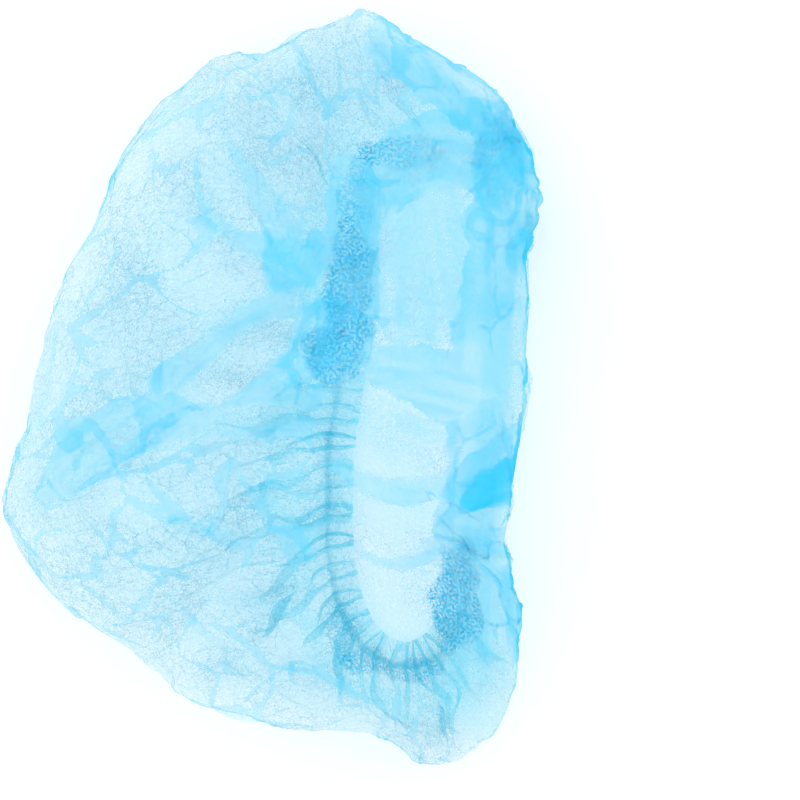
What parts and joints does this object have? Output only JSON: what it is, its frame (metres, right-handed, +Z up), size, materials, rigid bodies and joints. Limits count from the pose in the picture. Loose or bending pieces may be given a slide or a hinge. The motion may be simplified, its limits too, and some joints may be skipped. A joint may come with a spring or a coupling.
{
  "type": "bouffant cap",
  "caption": "Puffed-up disposable cap of thin light-blue nonwoven cloth, gathered by an elastic loop round its head opening.",
  "frame": {"origin": "on the table, under the middle of the cap's outline", "axes": "+Z up, +Y along the cap's length, +X towards the side under which the head opening lies"},
  "size_m": [0.258, 0.3621, 0.1127],
  "materials": {
    "spunbond_cloth": "matte, translucent",
    "covered_elastic": "matte"
  },
  "bodies": {
    "root": {"crown": "spunbond_cloth", "elastic_cord": "covered_elastic"}
  },
  "joints": []
}
